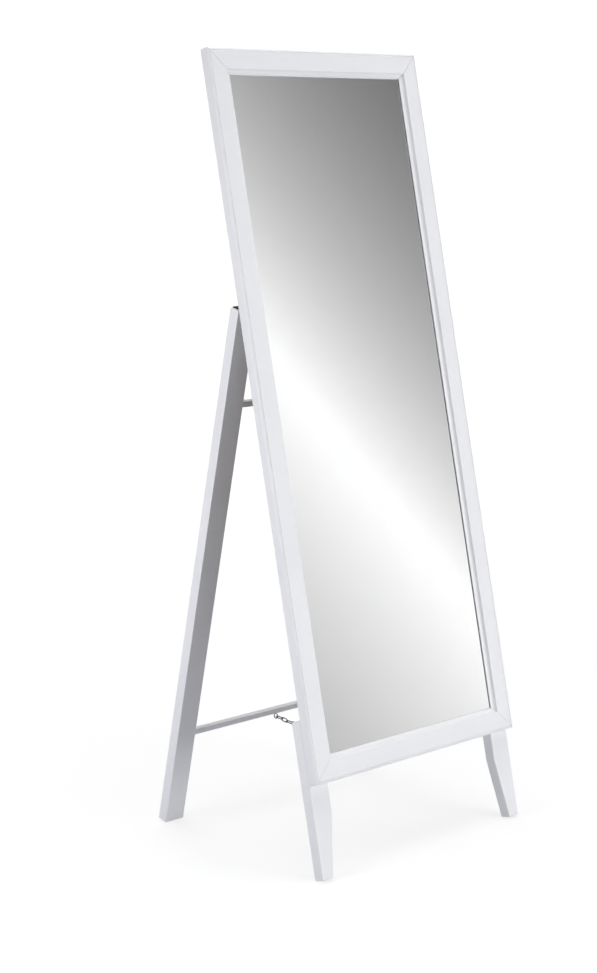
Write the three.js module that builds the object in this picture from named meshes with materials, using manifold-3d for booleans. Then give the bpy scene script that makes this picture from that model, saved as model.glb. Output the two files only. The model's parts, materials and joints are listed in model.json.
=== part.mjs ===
// Floor mirror on a folding easel: a mitred wooden frame leans back on two short front legs and is
// propped by a ladder-like rear support. The support hangs on two butt hinges, and a short chain
// between two screw eyes stops it from opening further.
//
// Units are millimetres. X is the width, +Y points to the back, +Z up, and Z = 0 is the floor.
// The origin is on the floor, below the middle of the bounding box.

import * as THREE from 'three';
import { mergeVertices } from 'three/addons/utils/BufferGeometryUtils.js';
import Module from 'manifold-3d';

const wasm = await Module();
wasm.setup();

// ---- Driving dimensions ----------------------------------------------------------------------

const WIDTH = 471;                      // overall
const DEPTH = 415;                      // overall, with the support open
const HEIGHT = 1310;                    // overall, with the support open
const LEAN = THREE.MathUtils.degToRad(12.4);    // of the mirror, from the vertical
const SPLAY = THREE.MathUtils.degToRad(12.4);   // of the rear support, from the vertical

const GAP = 0.3;                        // between pieces that touch
const FRAME_LENGTH = 1180;              // of the mitred frame, along its slope
const FRAME_THICKNESS = 18;
const RAIL_WIDTH = 43;                  // from the outer edge to the sight edge
const FRAME_EDGE = 3.5;                 // radius of the frame's outer front edge
const FACE_WIDTH = 34;                  // of the moulding, from its outer edge to the step down
const STEP = { across: 0.5, down: 1 };  // from the face to the cove
const COVE_BEND = { across: 2, up: 0.5 };       // the cove's control point, from the face and the lip
const LIP = { height: 12.6, width: 2.5, edge: 0.6 };    // beside the glass
const LEG_WIDTH = 40;
const LEG_THICKNESS = 20;
const FRONT_LEG_LENGTH = 256;
const FOOT_WIDTH = 22.4;                // of a front leg, at the floor
const TAPER_LENGTH = 104;               // of a front leg's inner edge

const RABBET_WIDTH = 8;                 // behind the sight edge, holds the glass
const RABBET_FRONT = 11.3;              // depth of the rabbet, from the frame's back
const GLASS_THICKNESS = 4;
const BOARD_THICKNESS = 3;
const PANE_CLEARANCE = 1;               // around the glass and the backing board

const RUNG_SIZE = 10;
const LOWER_RUNG = 163;                 // middle of the rung, above the leg's foot
const UPPER_RUNG_DROP = 163;            // middle of the rung, below the leg's top
const DOWEL = { radius: 2.5, inLeg: 12, inRung: 10 };

const HINGE = { length: 32, leaf: 17, plate: 1.2, barrel: 2.2, bore: 1.4, pin: 1.1, hole: 10.5, pitch: 18 };
const PIN_HEAD = { thick: 0.8, inset: 0.4 };
const LEG_SCREW = { head: 3.8, shank: 2, length: 30 };
const LEAF_SCREW = { head: 2.9, shank: 1.4, length: 12 };
const LEG_SCREW_SPACING = 50;
const SCREW_POINT = { length: 4, share: 0.4 };      // a screw's point, and its width against the shank

const POINT = { width: 9, length: 14, thick: 0.8, driven: 4, spread: 0.62 };    // glazing point
const NAIL = { width: 16, thick: 0.8, depth: 12, inset: 17, sunk: 1 };          // corner nail
const EYE = { ring: 4.5, wire: 0.9, neck: 8, shank: 1.3, inFrame: 12, inRung: 7 };  // screw eye
const LINK = { wire: 1, halfWidth: 3.1, halfLength: 7.4, pitch: 13, first: 9.7 };   // chain link
const CHAIN = { frontLinks: 12, rearLinks: 13, sag: 16 };
const EYE_OFFSET = 3;                   // of each eye from the middle, so that the chain's halves pass
const CHAIN_SPREAD = 2.5;               // further offset of each half's free end

// ---- Derived places --------------------------------------------------------------------------

const FOOT_RISE = LEG_THICKNESS * Math.sin(LEAN);       // of a front foot's front edge
const ROUND_DEPTH = FRAME_THICKNESS + GAP - FRAME_EDGE; // of the round edge's middle, before the legs' front
const EDGE_RISE = HEIGHT - FOOT_RISE - FRAME_EDGE - ROUND_DEPTH * Math.sin(LEAN);
const FRAME_TOP = FRAME_EDGE + EDGE_RISE / Math.cos(LEAN);
const FRAME_BOTTOM = FRAME_TOP - FRAME_LENGTH;
const LEG_X = WIDTH / 2 - LEG_WIDTH / 2;
const INNER_X = WIDTH / 2 - LEG_WIDTH;

const OPEN_ANGLE = LEAN + SPLAY;
const HINGE_DROP = HINGE.barrel + GAP;                  // from the hinge's axis to the wood
const REAR_FOOT = DEPTH - LEG_THICKNESS * Math.cos(SPLAY);      // behind the front feet
const HINGE_HEIGHT = (REAR_FOOT * Math.cos(SPLAY) + HINGE_DROP - HINGE.barrel * Math.cos(OPEN_ANGLE)
  - FOOT_RISE * Math.sin(SPLAY)) / Math.sin(OPEN_ANGLE);        // along the frame
const HINGE_Y = HINGE_HEIGHT * Math.sin(LEAN) + HINGE.barrel * Math.cos(LEAN);
const HINGE_Z = FOOT_RISE + HINGE_HEIGHT * Math.cos(LEAN) - HINGE.barrel * Math.sin(LEAN);
const REAR_LEG_LENGTH = HINGE_Z * Math.cos(SPLAY) - (HINGE_Y - REAR_FOOT) * Math.sin(SPLAY) - HINGE_DROP;
const RUNG_HEIGHTS = { lower: LOWER_RUNG, upper: REAR_LEG_LENGTH - UPPER_RUNG_DROP };
const EYE_HEIGHT = FRAME_BOTTOM + (RAIL_WIDTH - RABBET_WIDTH) / 2;

const FRAME_EYE = [-EYE_OFFSET, EYE.neck - GAP, EYE_HEIGHT];            // in the leaning mirror's axes
const RUNG_EYE = [EYE_OFFSET, LEG_THICKNESS / 2, LOWER_RUNG - RUNG_SIZE / 2 - EYE.neck];  // in the support's

const SIDES = { left: -1, right: 1 };

// ---- Materials -------------------------------------------------------------------------------

const PAINT = new THREE.MeshStandardMaterial({ color: 0xeceded, roughness: 0.45, metalness: 0 });
const GLASS = new THREE.MeshStandardMaterial({ color: 0xdfe3e4, roughness: 0.03, metalness: 1 });
const BOARD = new THREE.MeshStandardMaterial({ color: 0x7a5a3c, roughness: 0.8, metalness: 0 });
const BEECH = new THREE.MeshStandardMaterial({ color: 0xc9a77a, roughness: 0.7, metalness: 0 });
const STEEL = new THREE.MeshStandardMaterial({ color: 0x8d8d90, roughness: 0.35, metalness: 1 });
const DARK_STEEL = new THREE.MeshStandardMaterial({ color: 0x2c2b2a, roughness: 0.4, metalness: 1 });

// ---- Solids ----------------------------------------------------------------------------------

// The solid that a closed geometry bounds, and the geometry of a solid.
function toSolid(geometry) {
  const bare = new THREE.BufferGeometry();
  bare.setAttribute('position', geometry.attributes.position.clone());
  if (geometry.index) bare.setIndex(geometry.index.clone());
  const merged = mergeVertices(bare, 1e-4);
  const vertProperties = new Float32Array(merged.attributes.position.array);
  const triVerts = new Uint32Array(merged.index.array);
  return new wasm.Manifold(new wasm.Mesh({ numProp: 3, vertProperties, triVerts }));
}

function toGeometry(solid) {
  const mesh = solid.getMesh();
  const geometry = new THREE.BufferGeometry();
  geometry.setAttribute('position', new THREE.BufferAttribute(mesh.vertProperties, 3));
  geometry.setIndex(new THREE.BufferAttribute(mesh.triVerts, 1));
  geometry.computeVertexNormals();
  return geometry;
}

function cut(geometry, cutters) {
  return toGeometry(cutters.reduce((solid, cutter) => solid.subtract(toSolid(cutter)), toSolid(geometry)));
}

function join(geometries) {
  return toGeometry(geometries.map(toSolid).reduce((whole, solid) => whole.add(solid)));
}

// A box between two corners.
function block(low, high) {
  const [x, y, z] = high.map((value, axis) => value - low[axis]);
  const middle = high.map((value, axis) => (value + low[axis]) / 2);
  return new THREE.BoxGeometry(x, y, z).translate(...middle);
}

// A cylinder along X.
function rod(radius, length, x, y, z, sides = 16) {
  return new THREE.CylinderGeometry(radius, radius, length, sides).rotateZ(Math.PI / 2).translate(x, y, z);
}

// A profile of [radius, height] points, turned around Y.
function lathe(profile, sides) {
  return new THREE.LatheGeometry(profile.map(([r, y]) => new THREE.Vector2(r, y)), sides);
}

// A shape in X and Z, given thickness from `front` to `back` along Y.
function slab(points, front, back) {
  const shape = new THREE.Shape(points.map(([x, z]) => new THREE.Vector2(x, z)));
  const geometry = new THREE.ExtrudeGeometry(shape, { depth: back - front, bevelEnabled: false });
  return geometry.rotateX(Math.PI / 2).translate(0, back, 0);
}

function addMesh(group, name, geometry, material) {
  const mesh = new THREE.Mesh(geometry, material);
  mesh.name = name;
  group.add(mesh);
  return mesh;
}

// ---- Fasteners -------------------------------------------------------------------------------

// A countersunk screw along Y, its head's top at the origin. `grow` widens it into its own hole.
function screw({ head, shank, length }, grow = 0) {
  const sink = head - shank;
  const tip = shank * SCREW_POINT.share + grow;
  const profile = [[0, -length - grow], [tip, -length - grow], [shank + grow, -length + SCREW_POINT.length],
    [shank + grow, -sink - grow], [head + grow, 0]];
  if (grow) profile.push([head + grow, grow]);
  profile.push([0, grow]);
  return lathe(profile, 12);
}

// A screw eye with its shank along -Y and its ring, in the YZ plane, around the origin.
function screwEye(shankLength) {
  const ring = new THREE.TorusGeometry(EYE.ring, EYE.wire, 8, 20).rotateY(Math.PI / 2);
  const length = shankLength + EYE.neck - EYE.ring;
  const shank = new THREE.CylinderGeometry(EYE.shank, EYE.shank, length, 12);
  shank.translate(0, -EYE.ring - length / 2, 0);
  return join([ring, shank]);
}

// The hole for that screw eye's shank, in the same place.
function eyeHole(shankLength) {
  const radius = EYE.shank + GAP;
  const mouth = 1;
  const length = mouth + shankLength + GAP;
  const hole = new THREE.CylinderGeometry(radius, radius, length, 12);
  return hole.translate(0, mouth - EYE.neck - length / 2, 0);
}

// ---- Mitred frame, glass and backing -----------------------------------------------------------

// Section of the moulding: x runs in from the outer edge, y from the back (0) to the front.
function mouldingProfile() {
  const shape = new THREE.Shape();
  const front = -FRAME_THICKNESS;
  const roundY = front + FRAME_EDGE;
  const lipX = RAIL_WIDTH - LIP.width;
  const rabbetX = RAIL_WIDTH - RABBET_WIDTH;
  shape.moveTo(0, 0);
  shape.lineTo(0, roundY);
  shape.absarc(FRAME_EDGE, roundY, FRAME_EDGE, Math.PI, Math.PI * 1.5, false);
  shape.lineTo(FACE_WIDTH, front);
  shape.lineTo(FACE_WIDTH + STEP.across, front + STEP.down);
  shape.quadraticCurveTo(FACE_WIDTH + COVE_BEND.across, -LIP.height - COVE_BEND.up, lipX, -LIP.height);
  shape.lineTo(RAIL_WIDTH - LIP.edge, -LIP.height);
  shape.lineTo(RAIL_WIDTH, LIP.edge - LIP.height);
  shape.lineTo(RAIL_WIDTH, -RABBET_FRONT);
  shape.lineTo(rabbetX, -RABBET_FRONT);
  shape.lineTo(rabbetX, 0);
  return shape;
}

// One length of moulding along Z, with its ends cut to 45 degrees.
function mouldingLength(length) {
  const steps = { depth: length, bevelEnabled: false, curveSegments: 4 };
  const geometry = new THREE.ExtrudeGeometry(mouldingProfile(), steps);
  const place = geometry.attributes.position;
  const trim = GAP * Math.SQRT1_2;
  for (let i = 0; i < place.count; i += 1) {
    const inset = place.getX(i) + trim;
    place.setZ(i, place.getZ(i) < length / 2 ? inset : length - inset);
  }
  return geometry;
}

// The plates that are driven into the frame: their outlines, and holes a little larger.
function glazingPoint(x, z, turn, grow = 0) {
  const { width, length, thick, driven } = POINT;
  const half = width / 2 + grow;
  const back = -RABBET_FRONT + GLASS_THICKNESS + BOARD_THICKNESS + 3 * GAP;
  const [start, end] = [-driven - grow, length - driven];
  const outline = [[start, -half], [end, -half], [end, half], [start, half]];
  return slab(outline, back - grow, back + thick + grow).rotateY(turn).translate(x, 0, z);
}

function cornerNail(side, z, end, grow = 0) {
  const half = NAIL.width / 2 + grow;
  const across = NAIL.thick / 2 + grow;
  const outline = [[-half, -across], [half, -across], [half, across], [-half, across]];
  const front = -NAIL.depth - grow;
  return slab(outline, front, grow ? NAIL.sunk : -NAIL.sunk).rotateY(side * end * Math.PI / 4)
    .translate(side * (WIDTH / 2 - NAIL.inset), 0, z - end * NAIL.inset);
}

// The cutters for everything that is driven or screwed into the frame, in the frame's own axes.
function frameHoles(points, nails) {
  const holes = [...points, ...nails].map((make) => make(GAP));
  for (const side of Object.values(SIDES)) {
    for (const [x, y, z] of legScrewPlaces(side)) holes.push(screw(LEG_SCREW, GAP).translate(x, y + GAP, z));
    for (const [x, z] of leafScrewPlaces(side)) {
      holes.push(screw(LEAF_SCREW, GAP).translate(x, HINGE.plate + GAP, HINGE_HEIGHT + z));
    }
  }
  holes.push(eyeHole(EYE.inFrame).translate(-EYE_OFFSET, EYE.neck, EYE_HEIGHT));
  return holes;
}

function legScrewPlaces(side) {
  const middle = (FRAME_BOTTOM + FRONT_LEG_LENGTH) / 2;
  return [-0.5, 0.5].map((step) => [side * LEG_X, LEG_THICKNESS, middle + step * LEG_SCREW_SPACING]);
}

function leafScrewPlaces(side) {
  return [-0.5, 0.5].map((step) => [side * LEG_X + step * HINGE.pitch, HINGE.hole]);
}

function pointPlaces() {
  const rabbetX = WIDTH / 2 - RAIL_WIDTH + RABBET_WIDTH;
  const rabbetZ = FRAME_LENGTH / 2 - RAIL_WIDTH + RABBET_WIDTH;
  const middle = (FRAME_TOP + FRAME_BOTTOM) / 2;
  const places = [];
  for (const step of [-POINT.spread, 0, POINT.spread]) {
    places.push([-rabbetX, middle + step * rabbetZ, 0], [rabbetX, middle + step * rabbetZ, Math.PI]);
  }
  places.push([0, middle - rabbetZ, -Math.PI / 2], [0, middle + rabbetZ, Math.PI / 2]);
  return places;
}

function buildFrame(group) {
  const points = pointPlaces().map(([x, z, turn]) => (grow) => glazingPoint(x, z, turn, grow));
  const nails = Object.values(SIDES).flatMap((side) => [
    (grow) => cornerNail(side, FRAME_TOP, 1, grow), (grow) => cornerNail(side, FRAME_BOTTOM, -1, grow),
  ]);
  const holes = frameHoles(points, nails);
  const edge = WIDTH / 2;
  const rails = {
    left_stile: mouldingLength(FRAME_LENGTH).translate(-edge, 0, FRAME_BOTTOM),
    right_stile: mouldingLength(FRAME_LENGTH).rotateY(Math.PI).translate(edge, 0, FRAME_TOP),
    top_rail: mouldingLength(WIDTH).rotateY(Math.PI / 2).translate(-edge, 0, FRAME_TOP),
    bottom_rail: mouldingLength(WIDTH).rotateY(-Math.PI / 2).translate(edge, 0, FRAME_BOTTOM),
  };
  for (const [name, geometry] of Object.entries(rails)) addMesh(group, name, cut(geometry, holes), PAINT);

  const paneX = WIDTH / 2 - RAIL_WIDTH + RABBET_WIDTH - PANE_CLEARANCE;
  const inset = RAIL_WIDTH - RABBET_WIDTH + PANE_CLEARANCE;
  const glassFront = -RABBET_FRONT + GAP;
  const boardFront = glassFront + GLASS_THICKNESS + GAP;
  const pane = (front, thickness) => block(
    [-paneX, front, FRAME_BOTTOM + inset],
    [paneX, front + thickness, FRAME_TOP - inset],
  );
  addMesh(group, 'mirror_glass', pane(glassFront, GLASS_THICKNESS), GLASS);
  addMesh(group, 'backing_board', pane(boardFront, BOARD_THICKNESS), BOARD);
  points.forEach((make, index) => addMesh(group, `glazing_point_${index + 1}`, make(0), STEEL));
  nails.forEach((make, index) => addMesh(group, `corner_nail_${index + 1}`, make(0), STEEL));
}

// ---- Front legs --------------------------------------------------------------------------------

function buildFrontLegs(group) {
  for (const [name, side] of Object.entries(SIDES)) {
    const outer = side * WIDTH / 2;
    const inner = side * INNER_X;
    const toe = side * (WIDTH / 2 - FOOT_WIDTH);
    const top = FRONT_LEG_LENGTH;
    const corners = [[outer, 0], [toe, 0], [inner, TAPER_LENGTH], [inner, top], [outer, top]];
    const leg = slab(corners, 0, LEG_THICKNESS);
    const places = legScrewPlaces(side);
    const holes = places.map((place) => screw(LEG_SCREW, GAP).translate(...place));
    addMesh(group, `${name}_front_leg`, cut(leg, holes), PAINT);
    places.forEach((place, index) => {
      addMesh(group, `${name}_leg_screw_${index + 1}`, screw(LEG_SCREW), STEEL).position.set(...place);
    });
  }
}

// ---- Hinges ------------------------------------------------------------------------------------

// The knuckles of one leaf, around the X axis at the origin: the outer two, or the middle one.
function knuckleSpans(outer) {
  const third = HINGE.length / 3;
  return outer ? [[-1.5 * third, -0.5 * third - GAP / 2], [0.5 * third + GAP / 2, 1.5 * third]]
    : [[-0.5 * third + GAP / 2, 0.5 * third - GAP / 2]];
}

// A leaf whose plate lies along +Z, with its wood side at y = -barrel.
function hingeLeaf(outer) {
  const half = HINGE.length / 2;
  const low = -HINGE.barrel;
  const plate = block([-half, low, 0], [half, low + HINGE.plate, HINGE.leaf]);
  const spans = knuckleSpans(outer);
  const barrels = spans.map(([a, b]) => rod(HINGE.barrel, b - a, (a + b) / 2, 0, 0));
  const room = HINGE.barrel + GAP;
  const rooms = knuckleSpans(!outer).map(([a, b]) => rod(room, b - a + 2 * GAP, (a + b) / 2, 0, 0));
  const plain = cut(plate, rooms);
  const bore = rod(HINGE.bore, HINGE.length + 2, 0, 0, 0);
  const holes = [-0.5, 0.5].map((step) => screw(LEAF_SCREW, GAP)
    .translate(step * HINGE.pitch, low + HINGE.plate, HINGE.hole));
  return cut(join([plain, ...barrels]), [bore, ...holes]);
}

// The pin along X, with a small flat head beyond each end of the barrel.
function hingePin() {
  const half = HINGE.length / 2 + GAP;
  const end = half + PIN_HEAD.thick;
  const head = HINGE.barrel - PIN_HEAD.inset;
  const profile = [[0, -end], [head, -end], [head, -half], [HINGE.pin, -half],
    [HINGE.pin, half], [head, half], [head, end], [0, end]];
  return lathe(profile, 14).rotateZ(Math.PI / 2);
}

function buildFrameLeaves(group) {
  for (const [name, side] of Object.entries(SIDES)) {
    const leaf = addMesh(group, `${name}_hinge_frame_leaf`, hingeLeaf(true), DARK_STEEL);
    leaf.position.set(side * LEG_X, HINGE.barrel, HINGE_HEIGHT);
    const pin = addMesh(group, `${name}_hinge_pin`, hingePin(), DARK_STEEL);
    pin.position.copy(leaf.position);
    leafScrewPlaces(side).forEach(([x, z], index) => {
      const fastener = addMesh(group, `${name}_frame_leaf_screw_${index + 1}`, screw(LEAF_SCREW), DARK_STEEL);
      fastener.position.set(x, HINGE.plate, HINGE_HEIGHT + z);
    });
  }
}

function buildLegLeaves(group) {
  for (const [name, side] of Object.entries(SIDES)) {
    const leaf = addMesh(group, `${name}_hinge_leg_leaf`, hingeLeaf(false), DARK_STEEL);
    leaf.quaternion.setFromAxisAngle(new THREE.Vector3(0, 1, 1).normalize(), Math.PI);
    leaf.position.set(side * LEG_X, HINGE_DROP, REAR_LEG_LENGTH + HINGE_DROP);
    leafScrewPlaces(side).forEach(([x, y], index) => {
      const fastener = addMesh(group, `${name}_leg_leaf_screw_${index + 1}`, screw(LEAF_SCREW), DARK_STEEL);
      fastener.rotation.x = Math.PI / 2;
      fastener.position.set(x, HINGE_DROP + y, REAR_LEG_LENGTH + GAP + HINGE.plate);
    });
  }
}

// ---- Rear support ------------------------------------------------------------------------------

function dowelCentre(side) {
  return side * (INNER_X + (DOWEL.inLeg - DOWEL.inRung) / 2);
}

function dowel(side, z, grow = 0) {
  const length = DOWEL.inLeg + DOWEL.inRung + 2 * grow;
  return rod(DOWEL.radius + grow, length, dowelCentre(side), LEG_THICKNESS / 2, z, 12);
}

function buildRearLegs(group) {
  for (const [name, side] of Object.entries(SIDES)) {
    const [low, high] = [side * INNER_X, side * WIDTH / 2].sort((a, b) => a - b);
    const leg = block([low, 0, 0], [high, LEG_THICKNESS, REAR_LEG_LENGTH]);
    const holes = Object.values(RUNG_HEIGHTS).map((z) => dowel(side, z, GAP));
    for (const [x, y] of leafScrewPlaces(side)) {
      const hole = screw(LEAF_SCREW, GAP).rotateX(Math.PI / 2);
      holes.push(hole.translate(x, HINGE_DROP + y, REAR_LEG_LENGTH + GAP + HINGE.plate));
    }
    addMesh(group, `${name}_rear_leg`, cut(leg, holes), PAINT);
    for (const [level, z] of Object.entries(RUNG_HEIGHTS)) {
      addMesh(group, `${name}_${level}_dowel`, dowel(side, z), BEECH);
    }
  }
}

function buildRungs(group) {
  const half = RUNG_SIZE / 2;
  const reach = INNER_X - GAP;
  for (const [level, z] of Object.entries(RUNG_HEIGHTS)) {
    const middle = LEG_THICKNESS / 2;
    const rung = block([-reach, middle - half, z - half], [reach, middle + half, z + half]);
    const holes = Object.values(SIDES).map((side) => dowel(side, z, GAP));
    if (level === 'lower') holes.push(eyeHole(EYE.inRung).rotateX(-Math.PI / 2).translate(...RUNG_EYE));
    addMesh(group, `${level}_rung`, cut(rung, holes), PAINT);
  }
}

// ---- Chain -------------------------------------------------------------------------------------

// A link: a ring stretched along X, in the XY plane.
function chainLink() {
  const sides = 12;
  const ring = new THREE.TorusGeometry(LINK.halfWidth, LINK.wire, 6, sides).rotateZ(Math.PI / sides);
  const place = ring.attributes.position;
  const stretch = LINK.halfLength - LINK.halfWidth;
  for (let i = 0; i < place.count; i += 1) {
    place.setX(i, place.getX(i) + Math.sign(place.getX(i)) * stretch);
  }
  return ring;
}

// One half of the chain: links a pitch apart from an eye along the sagging curve, each turned a
// quarter against the one before. `step` is -1 for the front half and 1 for the rear half.
function chainHalf(curve, links, step) {
  const total = curve.getLength();
  const across = new THREE.Vector3(1, 0, 0);
  const parts = [];
  for (let i = 0; i < links; i += 1) {
    const along = LINK.first + i * LINK.pitch;
    const u = step < 0 ? along / total : 1 - along / total;
    const tangent = curve.getTangentAt(u);
    const normal = new THREE.Vector3().crossVectors(tangent, across).normalize();
    const axes = i % 2 ? [tangent, normal, across.clone().negate()] : [tangent, across, normal];
    const centre = curve.getPointAt(u);
    centre.x = step * (EYE_OFFSET + CHAIN_SPREAD * (along / total) * 2);
    parts.push(chainLink().applyMatrix4(new THREE.Matrix4().makeBasis(...axes).setPosition(centre)));
  }
  return join(parts);
}

function buildChain(group, frontEye, rearEye) {
  const lowest = new THREE.Vector3().lerpVectors(frontEye, rearEye, 0.5);
  lowest.z -= 2 * CHAIN.sag;
  lowest.x = 0;
  const ends = [frontEye, rearEye].map((eye) => eye.clone().setX(0));
  const curve = new THREE.QuadraticBezierCurve3(ends[0], lowest, ends[1]);
  addMesh(group, 'chain_front_half', chainHalf(curve, CHAIN.frontLinks, -1), STEEL);
  addMesh(group, 'chain_rear_half', chainHalf(curve, CHAIN.rearLinks, 1), STEEL);
}

// ---- Assembly ----------------------------------------------------------------------------------

// The leaning mirror: x is the width, y points to the back of the frame, z up its slope.
const mirror = new THREE.Group();
mirror.rotation.x = -LEAN;
mirror.position.set(0, -DEPTH / 2, FOOT_RISE);
const frame = new THREE.Group();
frame.position.y = -GAP;
mirror.add(frame);
buildFrame(frame);
buildFrontLegs(mirror);
buildFrameLeaves(mirror);
addMesh(mirror, 'frame_screw_eye', screwEye(EYE.inFrame), STEEL).position.set(...FRAME_EYE);

// The rear support: the same, for the legs that lean the other way.
const support = new THREE.Group();
support.rotation.x = SPLAY;
support.position.set(0, REAR_FOOT - DEPTH / 2, 0);
buildRearLegs(support);
buildRungs(support);
buildLegLeaves(support);
const rungEye = addMesh(support, 'rung_screw_eye', screwEye(EYE.inRung), STEEL);
rungEye.rotation.x = -Math.PI / 2;
rungEye.position.set(...RUNG_EYE);

const object = new THREE.Group();
object.add(mirror, support);
object.updateMatrixWorld(true);
const frontEye = mirror.localToWorld(new THREE.Vector3(...FRAME_EYE));
const rearEye = support.localToWorld(new THREE.Vector3(...RUNG_EYE));
buildChain(object, frontEye, rearEye);

export default object;
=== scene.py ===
"""A white floor mirror on a folding easel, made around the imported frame.

The mirror leans back on two short front legs, and a ladder-like support props it from behind. Each piece
is built in millimetres, in the turned axes of the mirror or of the support, from the boxes of its nodes.
"""
import json
import math

import bmesh
import bpy
from mathutils import Matrix, Vector

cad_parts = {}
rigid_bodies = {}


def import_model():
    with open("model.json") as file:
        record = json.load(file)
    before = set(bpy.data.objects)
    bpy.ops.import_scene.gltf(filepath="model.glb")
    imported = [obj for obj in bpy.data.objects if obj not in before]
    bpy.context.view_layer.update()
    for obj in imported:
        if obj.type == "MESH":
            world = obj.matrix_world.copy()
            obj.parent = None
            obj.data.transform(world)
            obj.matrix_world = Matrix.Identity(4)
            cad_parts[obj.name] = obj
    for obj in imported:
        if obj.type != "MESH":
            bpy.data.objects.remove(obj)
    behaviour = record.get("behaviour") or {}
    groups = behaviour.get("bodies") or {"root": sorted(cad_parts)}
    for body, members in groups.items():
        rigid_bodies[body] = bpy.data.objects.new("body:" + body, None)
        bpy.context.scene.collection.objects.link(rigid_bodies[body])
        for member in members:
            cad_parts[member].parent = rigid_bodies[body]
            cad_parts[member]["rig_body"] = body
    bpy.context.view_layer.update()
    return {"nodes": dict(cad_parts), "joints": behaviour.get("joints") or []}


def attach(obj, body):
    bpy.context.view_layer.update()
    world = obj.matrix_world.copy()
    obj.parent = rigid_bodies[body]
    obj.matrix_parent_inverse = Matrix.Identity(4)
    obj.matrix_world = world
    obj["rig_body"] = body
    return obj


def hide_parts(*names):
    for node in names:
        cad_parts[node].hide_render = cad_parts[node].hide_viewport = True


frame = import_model()

MM = 0.001
LEAN = math.radians(12.4)               # of the mirror, from the vertical
SPLAY = math.radians(12.4)              # of the rear support, from the vertical
GAP = 0.3                               # around fasteners and between the mitred rails

MIRROR = Matrix.Rotation(-LEAN, 4, "X")     # x across, y to the back of the frame, z up its slope
SUPPORT = Matrix.Rotation(SPLAY, 4, "X")    # x across, y to the back of the legs, z up the legs
ROW = Matrix.Identity(4)

SIDES = {"left": -1, "right": 1}
ALONG_X = Matrix.Rotation(math.pi / 2, 4, "Y")      # turns a piece made along Z to lie along X
BACKWARD = Matrix.Rotation(-math.pi / 2, 4, "X")    # turns a piece that points up to point to the back


# ---- Places from the frame --------------------------------------------------------------------------

def turned_box(node, axes):
    """A node's lowest and highest corner in turned axes, in millimetres."""
    turn = axes.inverted()
    points = [turn @ vertex.co / MM for vertex in frame["nodes"][node].data.vertices]
    low = Vector([min(point[axis] for point in points) for axis in range(3)])
    high = Vector([max(point[axis] for point in points) for axis in range(3)])
    return low, high


def joint_place(name, axes):
    """A joint's place in turned axes, in millimetres."""
    joint = next(joint for joint in frame["joints"] if joint["name"] == name)
    return axes.inverted() @ Vector(joint["pos_m"]) / MM


# ---- Meshes -----------------------------------------------------------------------------------------

def skin(rings, closed=False):
    """A closed surface over rings of points. It has flat ends, unless the last ring meets the first."""
    bm = bmesh.new()
    loops = [[bm.verts.new(point) for point in ring] for ring in rings]
    pairs = list(zip(loops, loops[1:]))
    if closed:
        pairs.append((loops[-1], loops[0]))
    else:
        bm.faces.new(reversed(loops[0]))
        bm.faces.new(loops[-1])
    for near, far in pairs:
        for i in range(len(near)):
            j = (i + 1) % len(near)
            bm.faces.new((near[i], near[j], far[j], far[i]))
    return bm


def extrude(outline, axis, start, end):
    """An outline of pairs, given thickness along an axis; the pairs are the other two axes in order."""
    rings = []
    for place in (start, end):
        ring = [list(pair) for pair in outline]
        for point in ring:
            point.insert(axis, place)
        rings.append([Vector(point) for point in ring])
    return skin(rings)


def block(low, high):
    """A plain block between two corners."""
    outline = [(low[0], low[1]), (high[0], low[1]), (high[0], high[1]), (low[0], high[1])]
    return extrude(outline, 2, low[2], high[2])


def revolve(rows, columns):
    """A solid around Z from rows of (height, radius). A radius may be a function of the angle."""
    rings = []
    for height, radius in rows:
        ring = []
        for column in range(columns):
            angle = 2 * math.pi * column / columns
            reach = radius(angle) if callable(radius) else radius
            ring.append(Vector((reach * math.cos(angle), reach * math.sin(angle), height)))
        rings.append(ring)
    return skin(rings)


def sweep(points, radius_at, columns, closed=False):
    """A tube along points. radius_at(index, angle) is its radius there."""
    count = len(points)
    rings = []
    side = None
    for i, point in enumerate(points):
        before = points[i - 1] if i or closed else point
        after = points[(i + 1) % count] if i < count - 1 or closed else point
        tangent = (after - before).normalized()
        if side is None:
            side = tangent.orthogonal()
        side = (side - tangent * side.dot(tangent)).normalized()
        up = tangent.cross(side)
        angles = [2 * math.pi * column / columns for column in range(columns)]
        rings.append([
            point + (side * math.cos(angle) + up * math.sin(angle)) * radius_at(i, angle)
            for angle in angles
        ])
    return skin(rings, closed)


def arc(centre, radius, start, end, steps):
    """Points along an arc in a plane, both ends included, with its angles in degrees."""
    angles = [math.radians(start + (end - start) * step / steps) for step in range(steps + 1)]
    return [(centre[0] + radius * math.cos(a), centre[1] + radius * math.sin(a)) for a in angles]


def rounded_outline(low, high, radius, steps=5):
    """A rectangle with round corners."""
    corners = [(high, high, 0), (low, high, 90), (low, low, 180), (high, low, 270)]
    points = []
    for across, along, angle in corners:
        x = across[0] + (radius if across is low else -radius)
        y = along[1] + (radius if along is low else -radius)
        points += arc((x, y), radius, angle, angle + 90, steps)
    return points


def rounded_path(points, cuts):
    """Points with their corners cut off again and again, the two ends kept."""
    for _ in range(cuts):
        smooth = [points[0]]
        for a, b in zip(points, points[1:]):
            smooth += [a.lerp(b, 0.25), a.lerp(b, 0.75)]
        points = [*smooth, points[-1]]
    return points


# ---- Objects ----------------------------------------------------------------------------------------

def make_object(name, bm, axes):
    """An object from a bmesh in millimetres, placed by the matrix of its axes, in metres."""
    bmesh.ops.recalc_face_normals(bm, faces=bm.faces[:])
    bm.transform(Matrix.Scale(MM, 4))
    mesh = bpy.data.meshes.new(name)
    bm.to_mesh(mesh)
    bm.free()
    obj = bpy.data.objects.new(name, mesh)
    bpy.context.scene.collection.objects.link(obj)
    obj.matrix_world = axes
    return obj


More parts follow.
